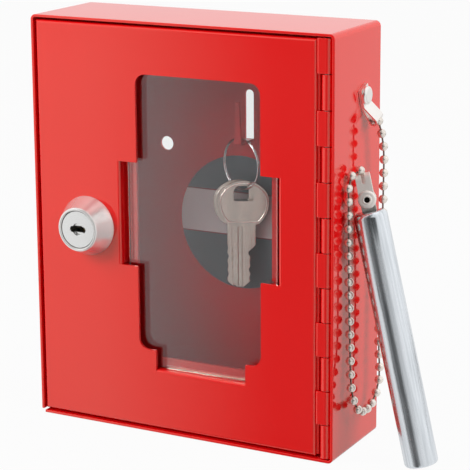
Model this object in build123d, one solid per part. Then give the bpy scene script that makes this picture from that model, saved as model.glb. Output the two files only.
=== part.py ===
from build123d import *
import math
import os

# Break glass key box: a folded steel case with an inset hinged door, a glass pane,
# a cam lock, keys on a hook, and a small hammer on a bead chain.
# Millimetres. Origin: centre of the underside. +X to the hinge side, front towards -Y, +Z up.

# ------------------------------------------------------------------ case
case_width = 120.0
case_depth = 38.0
case_height = 150.0
case_sheet = 1.0
case_bend = 2.0
open_corner = 1.4
screw_hole_bore = 5.2
screw_hole_spacing = 50.0
screw_hole_height = 99.4

# ------------------------------------------------------------------ key hook, lanced from the back panel
hook_x = 9.55
hook_width = 2.8
hook_slot_width = 3.4
hook_root_height = 103.15
hook_slot_top = 122.2
hook_reach = 9.5
hook_tip_height = 119.0
hook_tip_width = 1.5
hook_bend = 1.5

# ------------------------------------------------------------------ door
door_sheet = 1.0
door_gap = 0.9
door_flange = 9.0
door_bend = 1.2
flange_corner_gap = 0.6
window_width = 49.3
window_height = 100.3
window_corner = 4.0
window_x = 7.65
window_middle_height = 81.25
side_tab_length = 38.0
side_tab_height = 80.6
side_notch_depth = 6.9
bottom_tab_length = 36.2
bottom_tab_x = 8.0
bottom_notch_depth = 7.2
tab_lip_side = 4.6
tab_lip_bottom = 3.7

# ------------------------------------------------------------------ glass pane
glass_width = 59.6
glass_height = 111.5
glass_thickness = 2.8
glass_front_depth = 2.4
glass_seat_gap = 0.1

# ------------------------------------------------------------------ piano hinge
hinge_sheet = 0.8
barrel_diameter = 4.0
pin_diameter = 2.2
pin_clearance = 0.05
hinge_wall_gap = 0.4
hinge_end_gap = 0.5
knuckle_count = 12
knuckle_gap = 0.3
leaf_reach = 9.0
barrel_leaf_gap = 0.5

# ------------------------------------------------------------------ cam lock
lock_from_left = 22.4
lock_height = 74.5
lock_head_base = 22.0
lock_head_front = 16.0
lock_head_height = 7.5
lock_head_rim = 0.8
barrel_thread = 18.0
barrel_flats = 16.2
barrel_length = 18.0
barrel_hole_clearance = 0.1
plug_diameter = 13.4
plug_clearance = 0.05
plug_recess = 0.5
keyway_width = 6.5
keyway_height = 2.2
keyway_eye = 4.5
keyway_eye_depth = 1.0
wafer_count = 5
wafer_first = 2.4
wafer_pitch = 2.6
wafer_key_gap = 0.4
wafer_thickness = 0.9
wafer_height = 7.0
wafer_slot_clearance = 0.05
lock_washer_outer = 21.0
lock_washer_thickness = 0.6
nut_across_flats = 22.0
nut_thickness = 3.0
cam_gap = 0.1
cam_thickness = 2.0
cam_reach = 18.0
cam_width = 9.0
cam_hub = 13.0
tail_square = 6.0
tail_clearance = 0.05
screw_bore = 4.0
screw_length = 6.0
screw_head = 7.5
screw_head_height = 2.2
screw_head_round = 0.9
screw_cross_length = 4.4
screw_cross_width = 1.0
strike_sheet = 1.2
strike_lip = 6.0
strike_leg = 7.0
strike_height = 20.0
strike_cam_gap = 0.7

# ------------------------------------------------------------------ label, key ring and keys
label_diameter = 50.0
label_thickness = 0.2
label_x = 6.0
label_height = 72.5
ring_outer = 19.9
ring_wire = 1.3
ring_coil = 0.7
ring_coil_gap = 0.1
ring_turn = -22.0
ring_hook_clearance = 0.6
ring_setback = 1.8
key_turn = 28.0
key_thickness = 1.8
key_gap = 0.2
key_ring_clearance = 0.9
bow_width = 18.6
bow_crown = 7.8
bow_taper = 10.4
bow_foot = 8.4
bow_hole_width = 7.0
bow_hole_height = 5.6
bow_hole_wall = 1.9
bow_hole_crown_round = 2.4
bow_hole_foot_round = 0.6
shoulder_round = 0.8
blade_width = 8.7
blade_length = 23.6
blade_tip_slant = 1.9
blade_tip_flat = 2.2
cut_first = 1.6
cut_pitch = 3.1
cut_flat = 0.9
cut_ramp = 0.7
cut_ridge = 1.9
cut_depths = (2.3, 2.5, 2.2, 2.6)
back_cut_first = 2.6
back_cut_pitch = 3.3
back_cut_depths = (0.4, 0.3, 0.5, 0.3)
groove_width = 1.5
groove_depth = 0.45
groove_offset = 1.3

# ------------------------------------------------------------------ hammer on its strap and rivet
rod_diameter = 11.8
rod_length = 89.5
rod_top_round = 2.0
rod_foot_round = 1.4
hammer_lean = 14.1
hammer_back = 1.8
hammer_roll = 23.6
hammer_from_wall = 6.0
hammer_depth = 13.9
floor_clearance = 0.2
pivot_above_rod = 4.2
tang_thickness = 3.2
tang_width = 5.0
tang_spigot = 4.4
tang_spigot_length = 6.0
strap_sheet = 0.6
strap_gap = 3.4
strap_width = 5.2
strap_top = 9.1
strap_slot = 1.2
strap_slot_drop = 3.4
hammer_rivet_head = 6.3
hammer_rivet_head_height = 0.9
hammer_rivet_shank = 3.2
hammer_rivet_bore = 2.0
rivet_running_fit = 0.05

# ------------------------------------------------------------------ chain anchor on the right wall
anchor_depth = 22.5
anchor_below_top = 23.7
anchor_tilt = 21.5
anchor_rivet_head = 6.5
anchor_rivet_head_height = 1.3
anchor_rivet_shank = 3.4
anchor_tail = 5.6
anchor_tail_height = 1.2
connector_sheet = 0.6
connector_width = 5.6
connector_wall_gap = 0.1
connector_leaf_gap = 0.1
connector_slot = 1.2
connector_round_above = 3.2
connector_bend_below = 3.6
connector_fold_below = 10.4
connector_fold_rise = 2.4
connector_return_below = 9.9
connector_return_rise = 5.0
connector_bends = (1.6, 1.3, 1.3, 1.6)
connector_slot_start = 8.6

# ------------------------------------------------------------------ bead chain
bead_diameter = 3.2
# Route of the chain: (out from the right wall, back from the front plane, up from the floor).
chain_points = [
    (4.6, 26.2, 117.0),
    (5.9, 28.3, 109.5),
    (5.8, 28.3, 97.0),
    (5.3, 28.7, 76.0),
    (4.5, 28.6, 52.0),
    (4.7, 28.1, 34.5),
    (5.3, 28.5, 24.5),
    (4.1, 26.6, 16.2),
    (4.7, 17.6, 14.9),
    (5.2, 9.2, 17.2),
    (3.9, 6.4, 24.6),
    (2.4, 8.8, 38.0),
    (2.1, 8.3, 58.0),
    (2.0, 7.6, 78.0),
    (2.1, 7.5, 91.2),
    (1.9, 7.0, 97.6),
    (2.0, 9.6, 101.6),
    (3.4, 13.8, 101.9),
]

# ------------------------------------------------------------------ places worked out from the sizes
front_y = -case_depth / 2
back_y = case_depth / 2
right_x = case_width / 2
left_x = -case_width / 2
panel_y = back_y - case_sheet
barrel_r = barrel_diameter / 2
hinge_x = right_x - case_sheet - hinge_wall_gap - barrel_r
hinge_y = front_y + barrel_r
door_right = hinge_x - barrel_r - barrel_leaf_gap - hinge_sheet
door_left = left_x + case_sheet + door_gap
door_bottom = case_sheet + door_gap
door_top = case_height - case_sheet - door_gap
hinge_bottom = case_sheet + hinge_end_gap
hinge_top = case_height - case_sheet - hinge_end_gap
knuckle_pitch = (hinge_top - hinge_bottom + knuckle_gap) / knuckle_count
knuckle_length = knuckle_pitch - knuckle_gap
window_bottom = window_middle_height - window_height / 2
notch_half_span = window_width / 2 + side_notch_depth
notch_bottom = window_bottom - bottom_notch_depth
glass_back_depth = glass_front_depth + glass_thickness
lip_front_depth = glass_back_depth + glass_seat_gap
lip_back_depth = lip_front_depth + door_sheet
lock_x = left_x + lock_from_left
housing_back_y = front_y + barrel_length
cam_front_y = housing_back_y + cam_gap
cam_back_y = cam_front_y + cam_thickness
strike_lip_back_y = cam_front_y - strike_cam_gap
hook_bar_top = hook_root_height + case_sheet
upright_front_y = panel_y - hook_reach
upright_back_y = upright_front_y + case_sheet
ring_inner_r = ring_outer / 2 - ring_wire
ring_y = upright_back_y + ring_setback
ring_height = hook_bar_top + ring_hook_clearance - ring_inner_r
tilt_cos = math.cos(math.radians(hammer_lean)) * math.cos(math.radians(hammer_back))
tilt_sin = math.sqrt(1 - tilt_cos ** 2)
foot_centre_z = (rod_diameter / 2 - rod_foot_round) * tilt_sin + rod_foot_round * (1 - tilt_cos)
pivot_x = right_x + hammer_from_wall
pivot_y = front_y + hammer_depth
pivot_z = floor_clearance + foot_centre_z + (rod_length + pivot_above_rod) * tilt_cos
hammer_place = (
    Pos(pivot_x, pivot_y, pivot_z)
    * Rot(0, -hammer_lean, 0)
    * Rot(-hammer_back, 0, 0)
    * Rot(0, 0, hammer_roll)
)
anchor_height = case_height - anchor_below_top
connector_inner_x = connector_wall_gap + connector_sheet / 2
connector_outer_x = connector_inner_x + connector_sheet + connector_leaf_gap
connector_face_x = right_x + connector_outer_x + connector_sheet / 2


# ------------------------------------------------------------------ shape helpers
def block(x0, x1, y0, y1, z0, z1):
    """Box between two opposite corners."""
    return Pos((x0 + x1) / 2, (y0 + y1) / 2, (z0 + z1) / 2) * Box(x1 - x0, y1 - y0, z1 - z0)


def round_bar_x(y, z, diameter, x0, x1):
    """Cylinder along X from x0 to x1."""
    return Pos((x0 + x1) / 2, y, z) * Rot(0, 90, 0) * Cylinder(diameter / 2, x1 - x0)


def round_bar_y(x, z, diameter, y0, y1):
    """Cylinder along Y from y0 to y1."""
    return Pos(x, (y0 + y1) / 2, z) * Rot(90, 0, 0) * Cylinder(diameter / 2, y1 - y0)


def round_bar_z(x, y, diameter, z0, z1):
    """Cylinder along Z from z0 to z1."""
    return Pos(x, y, (z0 + z1) / 2) * Cylinder(diameter / 2, z1 - z0)


def prism_y(outline, y0, y1):
    """Outline drawn in X and Z, filled from y0 to y1."""
    return Pos(0, y1, 0) * Rot(90, 0, 0) * extrude(outline, y1 - y0)


def prism_x(outline, x0, x1):
    """Outline drawn in Y and Z, filled from x0 to x1."""
    return Pos(x0, 0, 0) * Rot(0, 0, 90) * Rot(90, 0, 0) * extrude(outline, x1 - x0)


def closed_outline(points):
    """Flat face inside a closed run of straight lines."""
    return make_face(Polyline(*points, close=True))


def edges_near(shape, test):
    """Edges of a shape whose middle passes the test."""
    return [edge for edge in shape.edges() if test(edge.center())]


# ------------------------------------------------------------------ case pieces
def make_case_wrap():
    middle = Pos(0, case_height / 2)
    outer = middle * Rectangle(case_width, case_height)
    inner = middle * Rectangle(case_width - 2 * case_sheet, case_height - 2 * case_sheet)
    folded = [corner for corner in outer.vertices() if corner.X > 0 or corner.Y > case_height / 2]
    folded_inner = [corner for corner in inner.vertices() if corner.X > 0 or corner.Y > case_height / 2]
    outer = fillet(folded, case_bend)
    inner = fillet(folded_inner, case_bend - case_sheet)
    wrap = prism_y(outer - inner, front_y, back_y)
    wrap -= block(left_x - 1, left_x + open_corner, front_y - 1, back_y + 1, -1, open_corner)
    wrap -= round_bar_x(front_y + anchor_depth, anchor_height, anchor_rivet_shank,
                        right_x - case_bend - case_sheet, right_x + 1)
    return wrap


def make_hook():
    lower = hook_root_height
    profile = closed_outline([
        (back_y, lower),
        (upright_front_y, lower),
        (upright_front_y, hook_tip_height),
        (upright_back_y, hook_tip_height),
        (upright_back_y, hook_bar_top),
        (back_y, hook_bar_top),
    ])
    outer_corner = [v for v in profile.vertices()
                    if abs(v.X - upright_front_y) < 0.01 and abs(v.Y - lower) < 0.01]
    profile = fillet(outer_corner, hook_bend)
    strip = prism_x(profile, hook_x - hook_width / 2, hook_x + hook_width / 2)
    front_view = closed_outline([
        (hook_x - hook_width / 2, lower),
        (hook_x - hook_width / 2, hook_bar_top + hook_bend),
        (hook_x - hook_tip_width / 2, hook_tip_height),
        (hook_x + hook_tip_width / 2, hook_tip_height),
        (hook_x + hook_width / 2, hook_bar_top + hook_bend),
        (hook_x + hook_width / 2, lower),
    ])
    return strip & prism_y(front_view, upright_front_y, back_y)


def make_back_panel():
    sheet = Pos(0, case_height / 2) * RectangleRounded(
        case_width - 2 * case_sheet, case_height - 2 * case_sheet, case_bend)
    panel = prism_y(sheet, panel_y, back_y)
    for side in (-1, 1):
        panel -= round_bar_y(side * screw_hole_spacing / 2, screw_hole_height, screw_hole_bore,
                             panel_y - 1, back_y + 1)
    slot_height = hook_slot_top - hook_root_height
    slot = Pos(hook_x, hook_root_height + slot_height / 2) * Rectangle(hook_slot_width, slot_height)
    top = [corner for corner in slot.vertices() if corner.Y > hook_slot_top - 0.1]
    slot = fillet(top, hook_slot_width / 2 - 0.05)
    panel -= prism_y(slot, panel_y - 1, back_y + 1)
    return panel + make_hook()


def make_inner_label():
    return round_bar_y(label_x, label_height, label_diameter, panel_y - label_thickness, panel_y)


def make_lock_strike():
    wall_x = left_x + case_sheet
    low = lock_height - strike_height / 2
    high = lock_height + strike_height / 2
    leg = block(wall_x, wall_x + strike_sheet, strike_lip_back_y - strike_leg, strike_lip_back_y, low, high)
    lip = block(wall_x, wall_x + strike_lip, strike_lip_back_y - strike_sheet, strike_lip_back_y, low, high)
    return leg + lip


# ------------------------------------------------------------------ piano hinge
def knuckle_zone(number):
    """Lower and upper end of a knuckle, counted from the top."""
    upper = hinge_top - number * knuckle_pitch
    return upper - knuckle_length, upper


def make_door_leaf():
    plate_x = door_right
    bore = pin_diameter + 2 * pin_clearance
    leaf = block(plate_x, plate_x + hinge_sheet, front_y + door_bend, front_y + leaf_reach,
                 hinge_bottom + door_gap, hinge_top - door_gap)
    for number in range(0, knuckle_count, 2):
        low, high = knuckle_zone(number)
        bridge = block(plate_x, hinge_x, front_y, front_y + hinge_sheet, low, high)
        bend = block(plate_x, plate_x + hinge_sheet, front_y, front_y + 2 * door_bend, low, high)
        corner = bridge + bend
        rounded = edges_near(corner, lambda c: abs(c.X - plate_x) < 0.01 and abs(c.Y - front_y) < 0.01)
        leaf += fillet(rounded, hinge_sheet)
        leaf += round_bar_z(hinge_x, hinge_y, barrel_diameter, low, high)
        leaf -= round_bar_z(hinge_x, hinge_y, bore, low, high)
    return leaf


def make_case_leaf():
    plate_x = right_x - case_sheet - hinge_sheet
    bore = pin_diameter + 2 * pin_clearance
    clear_y = hinge_y + barrel_r - 0.2
    plate_low = case_bend
    plate_high = case_height - case_bend
    leaf = block(plate_x, plate_x + hinge_sheet, clear_y, front_y + leaf_reach, plate_low, plate_high)
    for number in range(1, knuckle_count, 2):
        low, high = knuckle_zone(number)
        leaf += block(plate_x, plate_x + hinge_sheet, hinge_y, clear_y,
                      max(low, plate_low), min(high, plate_high))
        leaf += round_bar_z(hinge_x, hinge_y, barrel_diameter, low, high)
        leaf -= round_bar_z(hinge_x, hinge_y, bore, low, high)
    return leaf


def make_hinge_pin():
    return round_bar_z(hinge_x, hinge_y, pin_diameter, hinge_bottom, hinge_top)


# ------------------------------------------------------------------ door pieces
def window_outline():
    opening = Pos(window_x, window_middle_height) * RectangleRounded(
        window_width, window_height, window_corner)
    opening += Pos(window_x, side_tab_height) * Rectangle(2 * notch_half_span, side_tab_length)
    opening += Pos(bottom_tab_x, notch_bottom + bottom_notch_depth) * Rectangle(
        bottom_tab_length, 2 * bottom_notch_depth)
    return opening


def make_side_tab(side):
    """Tab folded back from a side of the window, with the lip that holds the glass."""
    low = side_tab_height - side_tab_length / 2
    high = side_tab_height + side_tab_length / 2
    inner = window_x + side * notch_half_span
    outer = inner + side * door_sheet
    lip_end = inner - side * tab_lip_side
    web = block(min(inner, outer), max(inner, outer), front_y, front_y + lip_back_depth, low, high)
    lip = block(min(lip_end, outer), max(lip_end, outer), front_y + lip_front_depth,
                front_y + lip_back_depth, low, high)
    return web + lip


def make_bottom_tab():
    """Tab folded back under the window, which the glass stands on."""
    low = bottom_tab_x - bottom_tab_length / 2
    high = bottom_tab_x + bottom_tab_length / 2
    web = block(low, high, front_y, front_y + lip_back_depth, notch_bottom - door_sheet, notch_bottom)
    lip = block(low, high, front_y + lip_front_depth, front_y + lip_back_depth,
                notch_bottom - door_sheet, notch_bottom + tab_lip_bottom)
    return web + lip


def make_door_panel():
    back = front_y + door_flange
    shell = block(door_left, door_right, front_y, back, door_bottom, door_top)
    shell = fillet(edges_near(shell, lambda c: abs(c.Y - front_y) < 0.01), door_bend)
    shell -= block(door_left + door_sheet, door_right - door_sheet, front_y + door_sheet, back + 1,
                   door_bottom + door_sheet, door_top - door_sheet)
    relief = door_sheet + flange_corner_gap
    for x in (door_left, door_right):
        for z in (door_bottom, door_top):
            shell -= block(x - relief, x + relief, front_y + door_bend, back + 1, z - relief, z + relief)
    shell -= prism_y(window_outline(), front_y - 1, front_y + door_sheet + 0.5)
    shell += make_side_tab(-1)
    shell += make_side_tab(1)
    shell += make_bottom_tab()
    left_edge = window_x - notch_half_span
    right_edge = window_x + notch_half_span

    def folds(centre):
        on_side = min(abs(centre.X - left_edge), abs(centre.X - right_edge)) < 0.01
        on_bottom = abs(centre.Z - notch_bottom) < 0.01
        return abs(centre.Y - front_y) < 0.01 and (on_side or on_bottom)

    shell = fillet(edges_near(shell, folds), door_sheet * 0.9)
    hole = barrel_thread + 2 * barrel_hole_clearance
    flats = barrel_flats + 2 * barrel_hole_clearance
    cutter = round_bar_y(lock_x, lock_height, hole, front_y - 1, front_y + door_sheet + 0.5)
    cutter &= block(lock_x - hole, lock_x + hole, front_y - 1, front_y + door_sheet + 0.5,
                    lock_height - flats / 2, lock_height + flats / 2)
    return shell - cutter


def make_glass_pane():
    low = notch_bottom + glass_seat_gap
    pane = block(window_x - glass_width / 2, window_x + glass_width / 2,
                 front_y + glass_front_depth, front_y + glass_back_depth, low, low + glass_height)
    return pane


# ------------------------------------------------------------------ cam lock
def make_lock_housing():
    bore = plug_diameter + 2 * plug_clearance
    section = closed_outline([
        (bore / 2, -lock_head_height),
        (lock_head_front / 2, -lock_head_height),
        (lock_head_base / 2, -lock_head_rim),
        (lock_head_base / 2, 0),
        (bore / 2, 0),
    ])
    nose = [v for v in section.vertices()
            if abs(v.X - lock_head_front / 2) < 0.01 and abs(v.Y + lock_head_height) < 0.01]
    section = fillet(nose, lock_head_rim)
    head = Pos(lock_x, front_y, lock_height) * revolve(section, Axis.Y)
    barrel = round_bar_y(lock_x, lock_height, barrel_thread, front_y, housing_back_y)
    barrel &= block(lock_x - barrel_thread, lock_x + barrel_thread, front_y, housing_back_y,
                    lock_height - barrel_flats / 2, lock_height + barrel_flats / 2)
    barrel -= round_bar_y(lock_x, lock_height, bore, front_y - 1, housing_back_y + 1)
    return head + barrel


def make_lock_washer():
    start = front_y + door_sheet
    ring = round_bar_y(lock_x, lock_height, lock_washer_outer, start, start + lock_washer_thickness)
    return ring - round_bar_y(lock_x, lock_height, barrel_thread + 2 * barrel_hole_clearance,
                              start - 1, start + 2)


def make_lock_nut():
    start = front_y + door_sheet + lock_washer_thickness
    across_corners = nut_across_flats / math.cos(math.radians(30))
    hexagon = Pos(lock_x, lock_height) * Rot(0, 0, 30) * RegularPolygon(across_corners / 2, 6)
    nut = prism_y(hexagon, start, start + nut_thickness)
    return nut - round_bar_y(lock_x, lock_height, barrel_thread + 2 * barrel_hole_clearance,
                             start - 1, start + nut_thickness + 1)


def wafer_centres():
    """Depth of each wafer, spread along the plug behind the door."""
    first = front_y + wafer_first
    return [first + number * wafer_pitch for number in range(wafer_count)]


def make_lock_plug():
    face_y = front_y - lock_head_height + plug_recess
    plug = round_bar_y(lock_x, lock_height, plug_diameter, face_y, housing_back_y)
    keyway = Pos(lock_x, lock_height) * SlotOverall(keyway_width, keyway_height)
    plug -= prism_y(keyway, face_y - 1, housing_back_y - 2)
    plug -= round_bar_y(lock_x, lock_height, keyway_eye, face_y - 1, face_y + keyway_eye_depth)
    slot_half = wafer_thickness / 2 + wafer_slot_clearance
    high = wafer_height / 2 + wafer_slot_clearance
    for y in wafer_centres():
        plug -= block(lock_x - plug_diameter, lock_x + plug_diameter, y - slot_half, y + slot_half,
                      lock_height - high, lock_height + high)
    half = tail_square / 2
    plug += block(lock_x - half, lock_x + half, housing_back_y, cam_back_y,
                  lock_height - half, lock_height + half)
    plug -= round_bar_y(lock_x, lock_height, screw_bore, cam_back_y - screw_length, cam_back_y + 1)
    return plug


def make_lock_wafers():
    wafers = []
    reach = plug_diameter - 4 * plug_clearance
    for y in wafer_centres():
        y0 = y - wafer_thickness / 2
        y1 = y + wafer_thickness / 2
        wafer = round_bar_y(lock_x, lock_height, reach, y0, y1)
        wafer &= block(lock_x - reach, lock_x + reach, y0, y1,
                       lock_height - wafer_height / 2, lock_height + wafer_height / 2)
        across = keyway_width / 2 + wafer_key_gap
        high = keyway_height / 2 + wafer_key_gap
        wafer -= block(lock_x - across, lock_x + across, y0 - 1, y1 + 1,
                       lock_height - high, lock_height + high)
        wafers.append(wafer)
    return Compound(children=wafers)


def make_lock_cam():
    hub = round_bar_y(lock_x, lock_height, cam_hub, cam_front_y, cam_back_y)
    arm = block(lock_x - cam_width / 2, lock_x + cam_width / 2, cam_front_y, cam_back_y,
                lock_height - cam_reach, lock_height)

    def tip_corners(centre):
        at_tip = centre.Z < lock_height - cam_reach + 0.01
        return at_tip and abs(abs(centre.X - lock_x) - cam_width / 2) < 0.01

    cam = hub + fillet(edges_near(arm, tip_corners), cam_width / 4)
    hole = tail_square / 2 + tail_clearance
    return cam - block(lock_x - hole, lock_x + hole, cam_front_y - 1, cam_back_y + 1,
                       lock_height - hole, lock_height + hole)


def make_cam_screw():
    shank = round_bar_y(lock_x, lock_height, screw_bore, cam_back_y - screw_length + 1, cam_back_y)
    head = round_bar_y(lock_x, lock_height, screw_head, cam_back_y, cam_back_y + screw_head_height)
    head = fillet(edges_near(head, lambda c: c.Y > cam_back_y + screw_head_height - 0.01), screw_head_round)
    slot_y = cam_back_y + screw_head_height * 0.5
    end_y = cam_back_y + screw_head_height + 1
    for across, high in ((screw_cross_length, screw_cross_width), (screw_cross_width, screw_cross_length)):
        head -= block(lock_x - across / 2, lock_x + across / 2, slot_y, end_y,
                      lock_height - high / 2, lock_height + high / 2)
    return shank + head


# ------------------------------------------------------------------ key ring and keys
def make_key_ring():
    coils = []
    for side in (-1, 1):
        centre = side * (ring_coil + ring_coil_gap) / 2
        coil = Cylinder(ring_outer / 2, ring_coil) - Cylinder(ring_inner_r, ring_coil + 1)
        coils.append(Pos(0, 0, centre) * coil)
    step = block(ring_inner_r, ring_outer / 2, 0, 2.4, -ring_coil_gap, ring_coil_gap)
    ring = coils[0] + coils[1] + (Rot(0, 0, 215) * step)
    return Pos(hook_x, ring_y, ring_height) * Rot(0, 0, ring_turn) * Rot(90, 0, 0) * ring


def cut_edge(ridge_x, inward, first_z, pitch, depths):
    """Corners of the cuts along one edge of the blade, from the tip up."""
    corners = []
    for number, depth in enumerate(depths):
        centre = first_z + number * pitch
        flat = cut_flat / 2
        corners += [(ridge_x, centre - flat - cut_ramp), (ridge_x + inward * depth, centre - flat),
                    (ridge_x + inward * depth, centre + flat), (ridge_x, centre + flat + cut_ramp)]
    return corners


def key_outline():
    """Key in its own plane: the ring's wire lies at the origin, the blade points down."""
    hole_top = ring_wire / 2 + key_ring_clearance
    bow_top = hole_top + bow_hole_wall
    widest = bow_top - bow_crown
    bow = Pos(0, widest) * Ellipse(bow_width / 2, bow_crown)
    bow &= Pos(0, widest + bow_crown / 2) * Rectangle(bow_width + 2, bow_crown)
    lower = Pos(0, widest) * Ellipse(bow_width / 2, bow_taper)
    lower &= Pos(0, widest - bow_foot / 2) * Rectangle(bow_width + 2, bow_foot)
    blade_top = widest - bow_foot
    tip_z = blade_top - blade_length
    half = blade_width / 2
    slant_top = tip_z + blade_tip_slant
    ridge_x = half - cut_ridge
    steps = [depth - cut_ridge for depth in cut_depths]
    points = [(-half, blade_top + 1)]
    points += reversed(cut_edge(-half, 1, slant_top + back_cut_first, back_cut_pitch, back_cut_depths))
    points += [(-half, slant_top), (-half + blade_tip_slant, tip_z)]
    points.append((-half + blade_tip_slant + blade_tip_flat, tip_z))
    points += cut_edge(ridge_x, -1, slant_top + cut_first, cut_pitch, steps)
    last_z = points[-1][1]
    points += [(half, last_z + cut_ridge), (half, blade_top + 1)]
    hole = Pos(0, hole_top - bow_hole_height / 2) * Rectangle(bow_hole_width, bow_hole_height)
    middle = hole_top - bow_hole_height / 2
    hole = fillet([corner for corner in hole.vertices() if corner.Y > middle], bow_hole_crown_round)
    feet = [corner for corner in hole.vertices() if corner.Y < hole_top - bow_hole_height + 0.01]
    hole = fillet(feet, bow_hole_foot_round)
    outline = bow + lower + closed_outline(points)
    shoulders = [corner for corner in outline.vertices()
                 if abs(corner.Y - blade_top) < 0.01 and abs(abs(corner.X) - half) < 0.01]
    return fillet(shoulders, shoulder_round) - hole, tip_z, blade_top


def make_key(side):
    """Key hung on the ring's lowest point: side +1 is the front key, -1 the back key."""
    outline, tip_z, blade_top = key_outline()
    solid = Pos(0, 0, -key_thickness / 2) * extrude(outline, key_thickness)
    for face in (-1, 1):
        deep = face * key_thickness / 2
        middle = -face * groove_offset
        bottom = deep - face * groove_depth
        solid -= block(middle - groove_width / 2, middle + groove_width / 2, tip_z - 1, blade_top - 1,
                       min(deep, bottom), max(deep, bottom))
    across = math.radians(key_turn - ring_turn)
    offset = side * (key_thickness + key_gap) / 2
    slide = offset / math.tan(across)
    wire_z = ring_height - ring_inner_r - ring_wire / 2
    stand = Pos(hook_x, ring_y, wire_z) * Rot(0, 0, key_turn) * Pos(slide, -offset, 0)
    return stand * Rot(90, 0, 0) * solid


# ------------------------------------------------------------------ hammer
def make_hammer_rod():
    rod = Pos(0, 0, -pivot_above_rod - rod_length / 2) * Cylinder(rod_diameter / 2, rod_length)
    top_z = -pivot_above_rod
    foot_z = top_z - rod_length
    rod = fillet([e for e in rod.edges() if abs(e.center().Z - top_z) < 0.01], rod_top_round)
    rod = fillet([e for e in rod.edges() if abs(e.center().Z - foot_z) < 0.01], rod_foot_round)
    rod -= Pos(0, 0, top_z - tang_spigot_length / 2) * Cylinder(tang_spigot / 2, tang_spigot_length)
    return hammer_place * rod


def make_hammer_tang():
    top_z = -pivot_above_rod
    half = tang_width / 2
    lug = block(-half, half, -tang_thickness / 2, tang_thickness / 2, top_z, 0)
    lug += Rot(90, 0, 0) * Cylinder(half, tang_thickness)
    lug -= Rot(90, 0, 0) * Cylinder(hammer_rivet_shank / 2 + rivet_running_fit, tang_thickness + 1)
    lug += Pos(0, 0, top_z - tang_spigot_length / 2) * Cylinder(tang_spigot / 2, tang_spigot_length)
    return hammer_place * lug


def make_hammer_strap():
    centre_r = (strap_gap + strap_sheet) / 2
    outer_r = strap_gap / 2 + strap_sheet
    fold_z = strap_top - outer_r
    leg_half = strap_width / 2
    fold = Pos(0, 0, fold_z) * Rot(0, 90, 0) * (
        Cylinder(outer_r, strap_width) - Cylinder(strap_gap / 2, strap_width + 1))
    fold &= block(-leg_half, leg_half, -outer_r, outer_r, fold_z, strap_top)
    strap = fold
    for side in (-1, 1):
        y0 = min(side * strap_gap / 2, side * outer_r)
        leg = block(-leg_half, leg_half, y0, y0 + strap_sheet, 0, fold_z)
        leg += Pos(0, side * centre_r, 0) * Rot(90, 0, 0) * Cylinder(leg_half, strap_sheet)
        bore = Cylinder(hammer_rivet_shank / 2, strap_sheet + 1)
        leg -= Pos(0, side * centre_r, 0) * Rot(90, 0, 0) * bore
        strap += leg
    strap -= block(-strap_slot / 2, strap_slot / 2, -outer_r, 0, strap_top - strap_slot_drop, strap_top + 1)
    return hammer_place * strap


def make_hammer_rivet():
    outer_face = strap_gap / 2 + strap_sheet
    shank = Rot(90, 0, 0) * Cylinder(hammer_rivet_shank / 2, 2 * outer_face)
    rivet = shank
    for side in (-1, 1):
        middle = side * (outer_face + hammer_rivet_head_height / 2)
        head = Pos(0, middle, 0) * Rot(90, 0, 0) * Cylinder(hammer_rivet_head / 2, hammer_rivet_head_height)
        outside = side * (outer_face + hammer_rivet_head_height)
        rim = [e for e in head.edges() if abs(e.center().Y - outside) < 0.01]
        rivet += fillet(rim, hammer_rivet_head_height * 0.7)
    total = 2 * (outer_face + hammer_rivet_head_height) + 1
    rivet -= Rot(90, 0, 0) * Cylinder(hammer_rivet_bore / 2, total)
    return hammer_place * rivet


# ------------------------------------------------------------------ chain anchor
def connector_line():
    """Middle line of the folded strip: (down from the rivet, out from the wall)."""
    return [
        (-connector_round_above, connector_inner_x),
        (connector_bend_below, connector_inner_x),
        (connector_fold_below, connector_inner_x + connector_fold_rise),
        (connector_return_below, connector_outer_x + connector_return_rise),
        (connector_bend_below, connector_outer_x),
        (-connector_round_above, connector_outer_x),
    ]


def make_chain_connector():
    path = FilletPolyline(*connector_line(), radius=list(connector_bends))
    section = trace(path, line_width=connector_sheet)
    strip = Pos(0, 0, -connector_width / 2) * extrude(section, connector_width)
    half = connector_slot / 2
    past_fold = connector_fold_below + connector_width
    strip -= block(connector_slot_start, past_fold, -connector_width, past_fold, -half, half)
    strip -= Rot(90, 0, 0) * Cylinder(anchor_rivet_shank / 2, 2 * connector_width)
    tilt = math.radians(anchor_tilt)
    # The strip's own x runs down the wall and its y runs out of the wall.
    hung = Plane(origin=(right_x, front_y + anchor_depth, anchor_height),
                 x_dir=(0, math.sin(tilt), -math.cos(tilt)), z_dir=(0, -math.cos(tilt), -math.sin(tilt)))
    return hung.location * strip


def make_anchor_rivet():
    y = front_y + anchor_depth
    inner_x = right_x - case_sheet
    rim_x = connector_face_x + anchor_rivet_head_height
    head = round_bar_x(y, anchor_height, anchor_rivet_head, connector_face_x, rim_x)
    head = fillet(edges_near(head, lambda c: abs(c.X - rim_x) < 0.01), anchor_rivet_head_height * 0.7)
    shank = round_bar_x(y, anchor_height, anchor_rivet_shank, inner_x, connector_face_x)
    tail = round_bar_x(y, anchor_height, anchor_tail, inner_x - anchor_tail_height, inner_x)
    tail_x = inner_x - anchor_tail_height
    tail = fillet(edges_near(tail, lambda c: c.X < tail_x + 0.01), anchor_tail_height * 0.6)
    return head + shank + tail


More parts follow.
